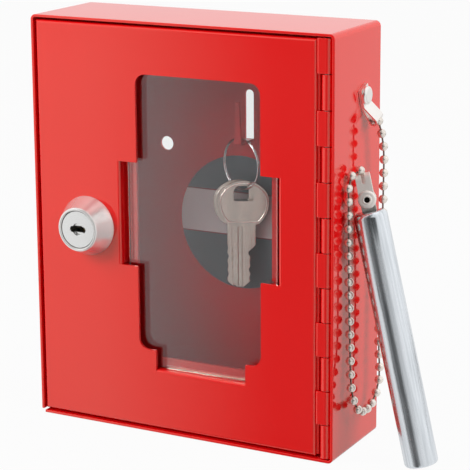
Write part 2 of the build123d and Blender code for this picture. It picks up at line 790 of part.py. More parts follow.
# ------------------------------------------------------------------ bead chain
def make_bead_chain():
    points = [Vector(right_x + out, front_y + back, up) for out, back, up in chain_points]
    runs = [second - first for first, second in zip(points, points[1:])]
    radii = []
    for before, after in zip(runs, runs[1:]):
        half_turn = math.radians(before.get_angle(after)) / 2
        radii.append(0.45 * min(before.length, after.length) / math.tan(half_turn))
    path = FilletPolyline(*points, radius=radii)
    start = Plane(origin=path @ 0, z_dir=path % 0)
    tube = sweep(start * Circle(bead_diameter / 2), path=path)
    expected = math.pi * bead_diameter ** 2 / 4 * path.length
    print("chain runs", [round(run.length, 1) for run in runs])
    print("chain turns", [round(a.get_angle(b), 1) for a, b in zip(runs, runs[1:])])
    print("chain radii", [round(radius, 1) for radius in radii])
    print("chain length", round(path.length, 1), "volume ratio", round(tube.volume / expected, 4))
    return tube


# ------------------------------------------------------------------ write every node
nodes = {
    "case_wrap": make_case_wrap,
    "back_panel": make_back_panel,
    "inner_label": make_inner_label,
    "lock_strike": make_lock_strike,
    "hinge_case_leaf": make_case_leaf,
    "hinge_door_leaf": make_door_leaf,
    "hinge_pin": make_hinge_pin,
    "door_panel": make_door_panel,
    "glass_pane": make_glass_pane,
    "lock_housing": make_lock_housing,
    "lock_washer": make_lock_washer,
    "lock_nut": make_lock_nut,
    "lock_plug": make_lock_plug,
    "lock_wafers": make_lock_wafers,
    "lock_cam": make_lock_cam,
    "cam_screw": make_cam_screw,
    "key_ring": make_key_ring,
    "key_front": lambda: make_key(1),
    "key_back": lambda: make_key(-1),
    "anchor_rivet": make_anchor_rivet,
    "chain_connector": make_chain_connector,
    "bead_chain": make_bead_chain,
    "hammer_strap": make_hammer_strap,
    "hammer_rivet": make_hammer_rivet,
    "hammer_tang": make_hammer_tang,
    "hammer_rod": make_hammer_rod,
}

os.makedirs("parts", exist_ok=True)
for name, make in nodes.items():
    export_step(make(), f"parts/{name}.step")
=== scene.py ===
"""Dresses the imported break-glass key box: powder coat, soft sheet edges, turned and wire pieces, studio."""

import logging
import math
from collections.abc import Sequence
from dataclasses import dataclass
from enum import Enum

import bmesh
import bpy
from mathutils import Matrix, Vector


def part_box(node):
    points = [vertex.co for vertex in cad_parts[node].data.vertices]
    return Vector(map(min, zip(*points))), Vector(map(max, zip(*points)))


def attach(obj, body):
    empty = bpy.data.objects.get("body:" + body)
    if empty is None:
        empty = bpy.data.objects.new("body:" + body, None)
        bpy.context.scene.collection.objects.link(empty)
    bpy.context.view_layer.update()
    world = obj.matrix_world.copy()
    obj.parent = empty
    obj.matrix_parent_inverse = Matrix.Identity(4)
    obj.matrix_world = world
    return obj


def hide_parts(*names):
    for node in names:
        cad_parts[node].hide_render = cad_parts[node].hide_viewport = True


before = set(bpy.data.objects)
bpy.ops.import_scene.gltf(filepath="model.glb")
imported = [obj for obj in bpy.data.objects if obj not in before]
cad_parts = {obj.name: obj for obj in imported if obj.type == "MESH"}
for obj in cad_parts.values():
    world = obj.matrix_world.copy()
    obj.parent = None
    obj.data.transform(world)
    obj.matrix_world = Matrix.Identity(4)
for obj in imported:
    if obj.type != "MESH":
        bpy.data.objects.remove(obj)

MM = 0.001
UP = Vector((0.0, 0.0, 1.0))
FULL_TURN = 2.0 * math.pi
MERGE = 2e-6
FLAT_WITHIN = math.radians(0.4)
FACE_WEIGHT = 80
TURNED_FACETS = 96
MIRROR_STRENGTH = 2.0
POLE_SHARE = 0.999
MOTTLE_SPAN = (0.35, 0.65)
WANDER_SPAN = (0.3, 0.7)
WHITE = (1.0, 1.0, 1.0, 1.0)

Point = tuple[float, float, float]
Colour = tuple[float, float, float]

log = logging.getLogger("key_box")


def metres(point: Sequence[float]) -> Vector:
    """A point or length given in millimetres, in metres."""
    return Vector(point) * MM


def aimed(place: Vector, along: Vector) -> Matrix:
    """A frame at a place, with its Z along a direction."""
    return Matrix.Translation(place) @ along.to_track_quat("Z", "Y").to_matrix().to_4x4()


def fade(tree: bpy.types.NodeTree, value: bpy.types.NodeSocket, span: tuple[float, float],
         ends: tuple[float, float] = (0.0, 1.0)) -> bpy.types.NodeSocket:
    """Runs from one number to another while a value crosses a span.

    Args:
        tree: The node tree.
        value: The value.
        span: Where the span starts and where it ends.
        ends: The results before and after it.

    Returns:
        The result's socket.
    """
    node = tree.nodes.new("ShaderNodeMapRange")
    for name, number in zip(("From Min", "From Max", "To Min", "To Max"), (*span, *ends)):
        node.inputs[name].default_value = number
    tree.links.new(value, node.inputs["Value"])
    return node.outputs["Result"]


# ---------------------------------------------------------------- finishes


@dataclass(frozen=True)
class Finish:
    """A painted or plated surface: mottled colour, wandering roughness and a fine grain.

    Attributes:
        slot: The record's material slot.
        colour: Main colour, linear.
        shade: The darker tone that the mottle runs to, linear.
        roughness: Middle roughness.
        wander: How far the roughness strays either way.
        metallic: 0 for paint, 1 for bare metal.
        specular: Specular level of a painted surface.
        patch: Size of the colour mottle, in metres.
        grain: Size of the bump's grain, in metres.
        depth: Depth of the bump, in metres.
        stretch: How many times finer the grain is along X, Y and Z.
        tilt: The grain's lean about X, Y and Z, in degrees.
        tint: Tint of head-on reflections on paint.
        variant: Tells apart two finishes of one slot.
    """

    slot: str
    colour: Colour
    shade: Colour
    roughness: float
    wander: float = 0.03
    metallic: float = 1.0
    specular: float = 0.5
    patch: float = 0.02
    grain: float = 0.0008
    depth: float = 0.00001
    stretch: Point = (1.0, 1.0, 1.0)
    tilt: Point = (0.0, 0.0, 0.0)
    tint: Colour = (1.0, 1.0, 1.0)
    variant: str = ""

    def material(self) -> bpy.types.Material:
        """Makes the finish's node material, or returns it if it is made already.

        Returns:
            The material.
        """
        name = f"{self.slot}{self.variant}_finish"
        found = bpy.data.materials.get(name)
        if found is not None:
            return found
        made = bpy.data.materials.new(name)
        made.use_nodes = True
        tree = made.node_tree
        shader = tree.nodes["Principled BSDF"]
        shader.inputs["Metallic"].default_value = self.metallic
        shader.inputs["Specular IOR Level"].default_value = self.specular
        shader.inputs["Specular Tint"].default_value = (*self.tint, 1.0)
        place = tree.nodes.new("ShaderNodeTexCoord")
        mapping = tree.nodes.new("ShaderNodeMapping")
        mapping.vector_type = "TEXTURE"
        mapping.inputs["Rotation"].default_value = [math.radians(a) for a in self.tilt]
        mapping.inputs["Scale"].default_value = [1.0 / s for s in self.stretch]
        tree.links.new(place.outputs["Object"], mapping.inputs["Vector"])
        self._mottle(tree, mapping, shader)
        self._grain(tree, mapping, shader)
        made.diffuse_color = (*self.colour, 1.0)
        return made

    def _noise(self, tree: bpy.types.NodeTree, mapping: bpy.types.Node, size: float,
               detail: float) -> bpy.types.Node:
        """Adds a noise texture of one size.

        Args:
            tree: The material's node tree.
            mapping: The node that places the pattern.
            size: Size of one blotch, in metres.
            detail: Octaves of finer noise on it.

        Returns:
            The noise node.
        """
        noise = tree.nodes.new("ShaderNodeTexNoise")
        noise.inputs["Scale"].default_value = 1.0 / size
        noise.inputs["Detail"].default_value = detail
        tree.links.new(mapping.outputs["Vector"], noise.inputs["Vector"])
        return noise

    def _mottle(self, tree: bpy.types.NodeTree, mapping: bpy.types.Node, shader: bpy.types.Node) -> None:
        """Lets the colour and the roughness drift over the surface.

        Args:
            tree: The material's node tree.
            mapping: The node that places the pattern.
            shader: The Principled shader.
        """
        noise = self._noise(tree, mapping, self.patch, 3.0)
        mix = tree.nodes.new("ShaderNodeMix")
        mix.data_type = "RGBA"
        mix.inputs["A"].default_value = (*self.shade, 1.0)
        mix.inputs["B"].default_value = (*self.colour, 1.0)
        tree.links.new(fade(tree, noise.outputs["Fac"], MOTTLE_SPAN), mix.inputs["Factor"])
        tree.links.new(mix.outputs["Result"], shader.inputs["Base Color"])
        rough = (self.roughness - self.wander, self.roughness + self.wander)
        tree.links.new(fade(tree, noise.outputs["Fac"], WANDER_SPAN, rough), shader.inputs["Roughness"])

    def _grain(self, tree: bpy.types.NodeTree, mapping: bpy.types.Node, shader: bpy.types.Node) -> None:
        """Gives the surface its fine bump.

        Args:
            tree: The material's node tree.
            mapping: The node that places the pattern.
            shader: The Principled shader.
        """
        noise = self._noise(tree, mapping, self.grain, 2.0)
        bump = tree.nodes.new("ShaderNodeBump")
        bump.inputs["Strength"].default_value = 1.0
        bump.inputs["Distance"].default_value = self.depth
        tree.links.new(noise.outputs["Fac"], bump.inputs["Height"])
        tree.links.new(bump.outputs["Normal"], shader.inputs["Normal"])


@dataclass(frozen=True)
class LabelFinish:
    """The printed disc inside: dark field, pale band, both bare.

    Attributes:
        slot: The record's material slot.
        field: Colour of the field, linear.
        band: Colour of the band, linear.
        trim: Colour of the fine line along the band, linear.
        band_low: Height of the band's lower edge, in metres.
        band_high: Height of its upper edge, in metres.
        margin: How far past the band the colour ramp reaches, in metres.
        line: Width of the fine line, in metres.
        roughness: Roughness of the print.
        fibre: How fine the paper's fibre is, as the noise's scale.
        fibre_weight: How much it darkens the print.
        fibre_depth: Depth of its bump, in metres.
    """

    slot: str
    field: Colour
    band: Colour
    trim: Colour
    band_low: float
    band_high: float
    margin: float = 0.01
    line: float = 0.0004
    roughness: float = 0.35
    fibre: float = 2500.0
    fibre_weight: float = 0.12
    fibre_depth: float = 0.00002

    def material(self) -> bpy.types.Material:
        """Makes the label's node material.

        Returns:
            The material.
        """
        made = bpy.data.materials.new(f"{self.slot}_finish")
        made.use_nodes = True
        tree = made.node_tree
        shader = tree.nodes["Principled BSDF"]
        shader.inputs["Roughness"].default_value = self.roughness
        place = tree.nodes.new("ShaderNodeTexCoord")
        split = tree.nodes.new("ShaderNodeSeparateXYZ")
        tree.links.new(place.outputs["Object"], split.inputs["Vector"])
        height = fade(tree, split.outputs["Z"], (self.band_low - self.margin, self.band_high + self.margin))
        ramp = tree.nodes.new("ShaderNodeValToRGB")
        ramp.color_ramp.interpolation = "CONSTANT"
        span = self.band_high - self.band_low + 2 * self.margin
        low, high = self.margin / span, 1.0 - self.margin / span
        edge = self.line / span
        ramp.color_ramp.elements[0].position = 0.0
        ramp.color_ramp.elements[0].color = (*self.field, 1.0)
        ramp.color_ramp.elements[1].position = low - edge
        ramp.color_ramp.elements[1].color = (*self.trim, 1.0)
        for position, colour in ((low, self.band), (high, self.trim), (high + edge, self.field)):
            ramp.color_ramp.elements.new(position).color = (*colour, 1.0)
        tree.links.new(height, ramp.inputs["Fac"])
        noise = tree.nodes.new("ShaderNodeTexNoise")
        noise.inputs["Scale"].default_value = self.fibre
        tree.links.new(place.outputs["Object"], noise.inputs["Vector"])
        fibre = tree.nodes.new("ShaderNodeMix")
        fibre.data_type = "RGBA"
        fibre.blend_type = "MULTIPLY"
        fibre.inputs["Factor"].default_value = self.fibre_weight
        tree.links.new(ramp.outputs["Color"], fibre.inputs["A"])
        tree.links.new(noise.outputs["Color"], fibre.inputs["B"])
        tree.links.new(fibre.outputs["Result"], shader.inputs["Base Color"])
        bump = tree.nodes.new("ShaderNodeBump")
        bump.inputs["Distance"].default_value = self.fibre_depth
        tree.links.new(noise.outputs["Fac"], bump.inputs["Height"])
        tree.links.new(bump.outputs["Normal"], shader.inputs["Normal"])
        return made


@dataclass(frozen=True)
class GlassFinish:
    """Clear float glass with a faint grey-green body and a trace of smears.

    Attributes:
        slot: The record's material slot.
        tint: Colour of light that passes through, linear.
        index: Refractive index.
        film: Weight of the film of dust and polish on it.
        film_index: The film's refractive index.
        film_roughness: The film's roughness.
        smear: How fine the smears are, as the noise's scale.
        smear_span: The stretch of noise over which a smear grows.
        smear_roughness: Roughness in the middle of a smear.
    """

    slot: str
    tint: Colour
    index: float
    film: float
    film_index: float = 1.8
    film_roughness: float = 0.08
    smear: float = 30.0
    smear_span: tuple[float, float] = (0.45, 0.8)
    smear_roughness: float = 0.04

    def material(self) -> bpy.types.Material:
        """Makes the glass's node material.

        Returns:
            The material.
        """
        made = bpy.data.materials.new(f"{self.slot}_finish")
        made.use_nodes = True
        tree = made.node_tree
        shader = tree.nodes["Principled BSDF"]
        shader.inputs["Base Color"].default_value = (*self.tint, 1.0)
        shader.inputs["Transmission Weight"].default_value = 1.0
        shader.inputs["IOR"].default_value = self.index
        shader.inputs["Coat Weight"].default_value = self.film
        shader.inputs["Coat IOR"].default_value = self.film_index
        shader.inputs["Coat Roughness"].default_value = self.film_roughness
        place = tree.nodes.new("ShaderNodeTexCoord")
        noise = tree.nodes.new("ShaderNodeTexNoise")
        noise.inputs["Scale"].default_value = self.smear
        tree.links.new(place.outputs["Object"], noise.inputs["Vector"])
        smeared = fade(tree, noise.outputs["Fac"], self.smear_span, (0.0, self.smear_roughness))
        tree.links.new(smeared, shader.inputs["Roughness"])
        return made


RED_COAT = Finish(
    "red_coat", (0.88, 0.004, 0.007), (0.86, 0.004, 0.006), roughness=0.05, wander=0.02, metallic=0.0,
    specular=1.0, patch=0.05, grain=0.004, depth=0.000007, tint=(1.0, 1.0, 0.8),
)
RED_INSIDE = Finish(
    "red_coat", (0.84, 0.02, 0.024), (0.80, 0.018, 0.022), roughness=0.24, wander=0.02, metallic=0.0,
    patch=0.05, grain=0.004, depth=0.0, variant="_inside",
)
LOCK_NICKEL = Finish(
    "lock_nickel", (0.96, 0.94, 0.92), (0.84, 0.82, 0.80), roughness=0.2, wander=0.06, metallic=0.7,
    grain=0.0007, depth=0.000012,
)
PLUG_NICKEL = Finish(
    "lock_nickel", (0.97, 0.97, 0.96), (0.94, 0.94, 0.93), roughness=0.2, wander=0.02, grain=0.0009,
    depth=0.000003, variant="_plug",
)
NICKEL = Finish(
    "nickel", (0.97, 0.94, 0.90), (0.88, 0.85, 0.82), roughness=0.3, wander=0.06, grain=0.0007,
)
SATIN_NICKEL = Finish(
    "nickel", (0.97, 0.93, 0.87), (0.90, 0.86, 0.81), roughness=0.46, wander=0.06, metallic=0.45,
    grain=0.0007, variant="_satin",
)
# Painted shade: a near-black finish for the cylinder that fills the rivet's bore, standing in for the shade
# deep in the hollow.
BORE_SHADE = Finish(
    "nickel", (0.02, 0.018, 0.017), (0.012, 0.011, 0.01), roughness=0.6, wander=0.05, variant="_painted_shade",
)
CHAIN_NICKEL = Finish(
    "chain_nickel", (0.90, 0.84, 0.77), (0.78, 0.72, 0.66), roughness=0.24, wander=0.04, metallic=0.8,
    depth=0.000006,
)
# Painted shade: the wires between the balls are the chain's nickel, made dark brown to stand in for the shade
# in the gaps between the balls.
CHAIN_WIRE_SHADE = Finish(
    "chain_nickel", (0.26, 0.20, 0.17), (0.20, 0.15, 0.13), roughness=0.4, wander=0.04, depth=0.000004,
    variant="_wire",
)
CHROME_WIRE = Finish(
    "chrome_wire", (0.90, 0.90, 0.90), (0.80, 0.80, 0.80), roughness=0.08, wander=0.02, depth=0.000003,
)
# The keys' metal: its warm, dim tone is partly the metal's own and partly a painted reflection of the red
# case around the keys.
KEY_METAL = Finish(
    "key_metal", (0.64, 0.53, 0.47), (0.52, 0.43, 0.38), roughness=0.2, wander=0.05, grain=0.0016,
    depth=0.000012, stretch=(4.0, 4.0, 1.0),
)
# Painted highlight: a pale variant of the key metal for the raised line on each bow, standing in for the
# light caught along it.
KEY_RIM_HIGHLIGHT = Finish(
    "key_metal", (0.98, 0.90, 0.84), (0.94, 0.86, 0.80), roughness=0.16, wander=0.03, grain=0.0016,
    depth=0.000004, variant="_edge",
)
HAMMER_ALLOY = Finish(
    "hammer_alloy", (0.82, 0.86, 0.90), (0.66, 0.70, 0.74), roughness=0.23, wander=0.06, patch=0.006,
    grain=0.003, depth=0.000022, stretch=(6.0, 6.0, 0.3), tilt=(-1.8, -14.1, 0.0),
)
ZINC = Finish("zinc", (0.70, 0.68, 0.63), (0.54, 0.52, 0.48), roughness=0.34, wander=0.06, depth=0.00002)
PIN_STEEL = Finish("pin_steel", (0.56, 0.55, 0.54), (0.44, 0.43, 0.42), roughness=0.3, wander=0.05)
BRASS = Finish("brass", (0.72, 0.52, 0.22), (0.6, 0.42, 0.16), roughness=0.28, wander=0.05)
LABEL = LabelFinish(
    "label", field=(0.15, 0.17, 0.19), band=(0.98, 0.84, 0.84), trim=(0.35, 0.02, 0.03), band_low=0.0675,
    band_high=0.0835,
)
GLASS = GlassFinish("glass", tint=(0.93, 0.95, 0.95), index=1.5, film=0.6)

AnyFinish = Finish | LabelFinish | GlassFinish


# ---------------------------------------------------------------- shared mesh work


class Edge(Enum):
    """How far a piece's sharp edges are softened, in metres."""

    SHEET = 0.00022
    PLATE = 0.0003
    FINE = 0.0001


def new_piece(name: str, bm: bmesh.types.BMesh, body: str, finish: AnyFinish,
              nodes: Sequence[str]) -> bpy.types.Object:
    """Turns a finished bmesh into a piece that rides on a body.

    Args:
        name: The piece's name.
        bm: Its mesh, in the frame, in metres; it is freed here.
        body: The CAD body that carries it.
        finish: Its surface finish.
        nodes: The CAD nodes that it stands for.

    Returns:
        The new object.
    """
    bmesh.ops.recalc_face_normals(bm, faces=bm.faces)
    mesh = bpy.data.meshes.new(name)
    bm.to_mesh(mesh)
    bm.free()
    mesh.polygons.foreach_set("use_smooth", [True] * len(mesh.polygons))
    piece = bpy.data.objects.new(name, mesh)
    bpy.context.scene.collection.objects.link(piece)
    mesh.materials.append(finish.material())
    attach(piece, body)
    if nodes:
        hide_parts(*nodes)
    log.info("%s: %d faces on %s", name, len(mesh.polygons), body)
    return piece


def even_shading(piece: bpy.types.Object) -> None:
    """Keeps flat faces flat beside their rounded edges."""
    shade = piece.modifiers.new("even_shading", "WEIGHTED_NORMAL")
    shade.weight = FACE_WEIGHT
    shade.keep_sharp = True


def round_edges(piece: bpy.types.Object, edge: Edge, angle: float) -> None:
    """Joins a piece's flat faces, rounds its edges and shades it evenly.

    Args:
        piece: The piece.
        edge: How far the edges are rounded.
        angle: Edges that turn by more than this, in degrees, are rounded.
    """
    weld = piece.modifiers.new("weld", "WELD")
    weld.merge_threshold = MERGE
    flat = piece.modifiers.new("flat", "DECIMATE")
    flat.decimate_type = "DISSOLVE"
    flat.angle_limit = FLAT_WITHIN
    rounding = piece.modifiers.new("rounding", "BEVEL")
    rounding.width = edge.value
    rounding.segments = 2
    rounding.limit_method = "ANGLE"
    rounding.angle_limit = math.radians(angle)
    rounding.use_clamp_overlap = True
    even_shading(piece)


def soften(node: str, finish: AnyFinish, edge: Edge, angle: float = 28.0) -> bpy.types.Object:
    """Rounds the edges of a CAD piece and gives it its finish.

    Args:
        node: The CAD node.
        finish: Its surface finish.
        edge: How far the edges are rounded.
        angle: Edges that turn by more than this, in degrees, are rounded.

    Returns:
        The node's object.
    """
    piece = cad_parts[node]
    mesh = piece.data
    normals = mesh.attributes.get("custom_normal")
    if normals is not None:
        mesh.attributes.remove(normals)
    mesh.polygons.foreach_set("use_smooth", [True] * len(mesh.polygons))
    round_edges(piece, edge, angle)
    mesh.materials.clear()
    mesh.materials.append(finish.material())
    log.info("%s: softened by %.2f mm", node, edge.value / MM)
    return piece


def turn(bm: bmesh.types.BMesh, profile: Sequence[tuple[float, float]], steps: int, place: Matrix) -> None:
    """Turns a profile a full turn about Z, closes its poles and sets it in place.

    Args:
        bm: The bmesh that takes the shape.
        profile: Points of (radius, height), in millimetres.
        steps: Facets round.
        place: Where the turned shape's own frame goes, in metres.
    """
    verts = [bm.verts.new(metres((radius, 0.0, height))) for radius, height in profile]
    edges = [bm.edges.new(pair) for pair in zip(verts, verts[1:])]
    bmesh.ops.spin(
        bm, geom=verts + edges, axis=(0, 0, 1), cent=(0, 0, 0), angle=FULL_TURN, steps=steps,
        use_merge=True, use_duplicate=False,
    )
    fresh = _island(verts)
    bmesh.ops.remove_doubles(bm, verts=fresh, dist=MERGE)
    fresh = [v for v in bm.verts if v.is_valid and v in set(fresh)]
    bmesh.ops.dissolve_degenerate(bm, dist=MERGE, edges=list({e for v in fresh for e in v.link_edges}))
    fresh = [v for v in fresh if v.is_valid]
    bmesh.ops.transform(bm, matrix=place, verts=fresh)


def _island(seeds: Sequence[bmesh.types.BMVert]) -> list[bmesh.types.BMVert]:
    """Finds all vertices joined by edges to the seeds, seeds included.

    Args:
        seeds: The vertices to start from.

    Returns:
        The vertices.
    """
    seen = {v for v in seeds if v.is_valid}
    wave = list(seen)
    while wave:
        ahead = [e.other_vert(v) for v in wave for e in v.link_edges]
        wave = [v for v in set(ahead) if v not in seen]
        seen.update(wave)
    return list(seen)


def rounded(radius: float, start: tuple[float, float], corner: tuple[float, float], end: tuple[float, float],
            steps: int = 5) -> list[tuple[float, float]]:
    """Points of a quarter round in place of a profile's corner.

    Args:
        radius: How far along each side the round starts, in millimetres.
        start: A profile point before the corner.
        corner: The corner.
        end: A profile point after it.
        steps: Facets in the round.

    Returns:
        The points, from the start side to the end side.
    """
    at = Vector(corner)
    first = at + (Vector(start) - at).normalized() * radius
    last = at + (Vector(end) - at).normalized() * radius
    points = []
    for i in range(steps + 1):
        t = i / steps
        # a conic through both ends that leaves along the sides, close to a circle's arc
        w = math.sqrt(0.5)
        a, b, c = (1 - t) ** 2, 2 * t * (1 - t) * w, t * t
        points.append(tuple((first * a + at * b + last * c) / (a + b + c)))
    return points


# ---------------------------------------------------------------- studio


@dataclass
class Studio:
    """Camera, pale floor and soft light.

    Attributes:
        eye: Camera place, in millimetres.
        yaw: Camera's turn to the left, in radians.
        pitch: How far it looks down, in radians.
        roll: Its roll, in radians.
        lens: Focal length, in millimetres.
        sensor: Width of the camera's sensor, in millimetres.
        clip: Nearest and farthest distance that the camera shows, in metres.
        shift: Vertical shift, as a share of the frame.
        middle: The middle of the box, in millimetres.
        floor_half: Half the floor's side, in metres.
        floor_shade: Grey of the floor where light falls on it.
        floor_glow: How much of the floor's seen brightness doesn't depend on the lamps.
        floor_gloss: The same for what gloss and metal see of it.
        ambient: Level of the light from all round.
        around: What gloss and metal see, as (compass direction in degrees, brightness); 0 is +X and -90 the
            front.
        dark_edge: Front and rear end of the left edge of the dark patch of floor that the case's right wall
            mirrors, in millimetres. The patch lies to the right of it and no further forward or back.
        dark_soft: How far its left, rear and front edges fade, in metres.
        dark_level: The share of the floor's mirrored brightness that stays inside it.
        backdrop_gap: Half angle of the dark patch that gloss and metal see where the camera stands, in
            degrees.
        backdrop_soft: How far that patch's edge fades, in degrees.
        backdrop_squat: How many times wider than tall it is.
        backdrop_level: The share of brightness that stays inside it.
    """

    eye: Point = (315.259, -571.562, 237.734)
    yaw: float = 0.4872
    pitch: float = 0.2236
    roll: float = -0.0061
    lens: float = 142.79
    sensor: float = 36.0
    clip: tuple[float, float] = (0.01, 50.0)
    shift: float = -50.0 / 470.0
    middle: Point = (0.0, 0.0, 75.0)
    floor_half: float = 8.0
    floor_shade: float = 0.35
    floor_glow: float = 0.96
    floor_gloss: float = 0.85
    ambient: float = 0.3
    around: tuple[tuple[float, float], ...] = (
        (-180.0, 0.8), (-150.0, 0.95), (-122.5, 1.0), (-120.0, 0.62), (-117.0, 0.1), (-104.0, 0.3),
        (-97.0, 0.06), (-78.0, 0.06), (-69.0, 0.6), (-60.0, 0.9), (-10.0, 0.95), (30.0, 1.05), (180.0, 0.9),
    )
    dark_edge: tuple[Point, Point] = ((162.0, 217.0, 0.0), (239.0, 385.0, 0.0))
    dark_soft: Point = (0.0025, 0.004, 0.02)
    dark_level: float = 0.08
    backdrop_gap: float = 22.0
    backdrop_soft: float = 4.0
    backdrop_squat: float = 2.0
    backdrop_level: float = 0.04

    def build(self) -> None:
        """Makes the camera, the world, the floor and the lights."""
        self._camera()
        self._world()
        self._floor()
        for name, place, aim, side, power, shows in (
            ("key_light", (-640.0, -700.0, 560.0), (0.0, 0.0, 70.0), 0.6, 9.4, False),
            ("side_light", (760.0, 60.0, 620.0), (60.0, 0.0, 90.0), 0.6, 5.8, False),
            ("top_light", (0.0, 60.0, 900.0), (0.0, 0.0, 80.0), 0.7, 0.3, True),
        ):
            self._softbox(name, place, aim, side=side, power=power, shows=shows)
        view = bpy.context.scene.view_settings
        view.view_transform = "Standard"

    def _camera(self) -> None:
        """Sets the camera by its yaw, pitch and roll."""
        forward = Vector((
            -math.sin(self.yaw) * math.cos(self.pitch),
            math.cos(self.yaw) * math.cos(self.pitch),
            -math.sin(self.pitch),
        ))
        right = Vector((math.cos(self.yaw), math.sin(self.yaw), 0.0))
        up = right.cross(forward)
        right_rolled = right * math.cos(self.roll) + up * math.sin(self.roll)
        up_rolled = up * math.cos(self.roll) - right * math.sin(self.roll)
        data = bpy.data.cameras.new("camera")
        data.lens = self.lens
        data.sensor_width = self.sensor
        data.shift_y = self.shift
        data.clip_start, data.clip_end = self.clip
        camera = bpy.data.objects.new("camera", data)
        turned = Matrix((right_rolled, up_rolled, -forward)).transposed().to_4x4()
        camera.matrix_world = Matrix.Translation(metres(self.eye)) @ turned
        bpy.context.scene.collection.objects.link(camera)
        bpy.context.scene.camera = camera

    @staticmethod
    def _seen(tree: bpy.types.NodeTree, kinds: Sequence[str]) -> bpy.types.NodeSocket:
        """A socket that is 1 for rays of the given kinds.

        Args:
            tree: The node tree.
            kinds: Output names of Light Path.

        Returns:
            The socket.
        """
        path = tree.nodes.new("ShaderNodeLightPath")
        socket = path.outputs[kinds[0]]
        for kind in kinds[1:]:
            joined = tree.nodes.new("ShaderNodeMath")
            joined.operation = "MAXIMUM"
            tree.links.new(socket, joined.inputs[0])
            tree.links.new(path.outputs[kind], joined.inputs[1])
            socket = joined.outputs[0]
        return socket

    def _surroundings(self, tree: bpy.types.NodeTree) -> bpy.types.NodeSocket:
        """What gloss and metal see round about, by compass direction, scaled down by MIRROR_STRENGTH.

        Args:
            tree: The node tree.

        Returns:
            The colour socket.
        """
        ray = tree.nodes.new("ShaderNodeNewGeometry")
        ahead = tree.nodes.new("ShaderNodeVectorMath")
        ahead.operation = "SCALE"
        ahead.inputs["Scale"].default_value = -1.0
        tree.links.new(ray.outputs["Incoming"], ahead.inputs[0])
        compass = tree.nodes.new("ShaderNodeTexGradient")
        compass.gradient_type = "RADIAL"
        tree.links.new(ahead.outputs[0], compass.inputs["Vector"])
        ramp = tree.nodes.new("ShaderNodeValToRGB")
        stops = [((degrees + 180.0) / 360.0, level / MIRROR_STRENGTH) for degrees, level in self.around]
        for element, (position, level) in zip(ramp.color_ramp.elements, (stops[0], stops[-1])):
            element.position = position
            element.color = (level, level, level, 1.0)
        for position, level in stops[1:-1]:
            ramp.color_ramp.elements.new(position).color = (level, level, level, 1.0)
        tree.links.new(compass.outputs["Fac"], ramp.inputs["Fac"])
        return ramp.outputs["Color"]

    @staticmethod
    def _dimmed(tree: bpy.types.NodeTree, colour: bpy.types.NodeSocket,
                share: bpy.types.NodeSocket) -> bpy.types.NodeSocket:
        """A colour times a share.

        Args:
            tree: The node tree.
            colour: The colour.
            share: The share.

        Returns:
            The dimmed colour's socket.
        """
        scale = tree.nodes.new("ShaderNodeVectorMath")
        scale.operation = "SCALE"
        tree.links.new(colour, scale.inputs[0])
        tree.links.new(share, scale.inputs["Scale"])
        return scale.outputs[0]

    def _dark_patch(self, tree: bpy.types.NodeTree) -> bpy.types.NodeSocket:
        """How much of the floor's mirrored brightness stays: little in the dark patch, all of it elsewhere.

        Args:
            tree: The floor's node tree.

        Returns:
            The share's socket.
        """
        near, far = (metres(point) for point in self.dark_edge)
        along = (far - near).normalized()
        outward = Vector((along.y, -along.x, 0.0))
        place = tree.nodes.new("ShaderNodeTexCoord")
        left_soft, rear_soft, front_soft = self.dark_soft
        inside = None
        for direction, origin, soft in (
            (outward, near, left_soft),
            (Vector((0, -1, 0)), far, rear_soft),
            (Vector((0, 1, 0)), near, front_soft),
        ):
            across = tree.nodes.new("ShaderNodeVectorMath")
            across.operation = "DOT_PRODUCT"
            across.inputs[1].default_value = direction
            tree.links.new(place.outputs["Object"], across.inputs[0])
            start = direction.dot(origin)
            share = fade(tree, across.outputs["Value"], (start, start + soft))
            if inside is None:
                inside = share
                continue
            both = tree.nodes.new("ShaderNodeMath")
            both.operation = "MULTIPLY"
            tree.links.new(inside, both.inputs[0])
            tree.links.new(share, both.inputs[1])
            inside = both.outputs[0]
        return fade(tree, inside, (0.0, 1.0), (1.0, self.dark_level))

    def _world(self) -> None:
        """White to the camera, the studio's round and a dark patch to gloss and metal, else soft light."""
        world = bpy.data.worlds.new("studio")
        bpy.context.scene.world = world
        world.use_nodes = True
        tree = world.node_tree
        tree.nodes.clear()
        out = tree.nodes.new("ShaderNodeOutputWorld")
        soft = tree.nodes.new("ShaderNodeBackground")
        soft.inputs["Color"].default_value = WHITE
        soft.inputs["Strength"].default_value = self.ambient
        white = tree.nodes.new("ShaderNodeBackground")
        white.inputs["Color"].default_value = WHITE
        mirror = tree.nodes.new("ShaderNodeBackground")
        mirror.inputs["Strength"].default_value = MIRROR_STRENGTH
        place = tree.nodes.new("ShaderNodeTexCoord")
        seen_round = self._surroundings(tree)
        aside = tree.nodes.new("ShaderNodeVectorMath")
        aside.operation = "SUBTRACT"
        aside.inputs[1].default_value = (metres(self.eye) - metres(self.middle)).normalized()
        tree.links.new(place.outputs["Generated"], aside.inputs[0])
        squat = tree.nodes.new("ShaderNodeVectorMath")
        squat.operation = "MULTIPLY"
        squat.inputs[1].default_value = (1.0, 1.0, self.backdrop_squat)
        tree.links.new(aside.outputs[0], squat.inputs[0])
        across = tree.nodes.new("ShaderNodeVectorMath")
        across.operation = "LENGTH"
        tree.links.new(squat.outputs[0], across.inputs[0])
        near, far = (
            2.0 * math.sin(math.radians(self.backdrop_gap + more) / 2) for more in (0.0, self.backdrop_soft)
        )
        gap = fade(tree, across.outputs["Value"], (near, far), (self.backdrop_level, 1.0))
        tree.links.new(self._dimmed(tree, seen_round, gap), mirror.inputs["Color"])
        first = tree.nodes.new("ShaderNodeMixShader")
        tree.links.new(self._seen(tree, ("Is Glossy Ray",)), first.inputs[0])
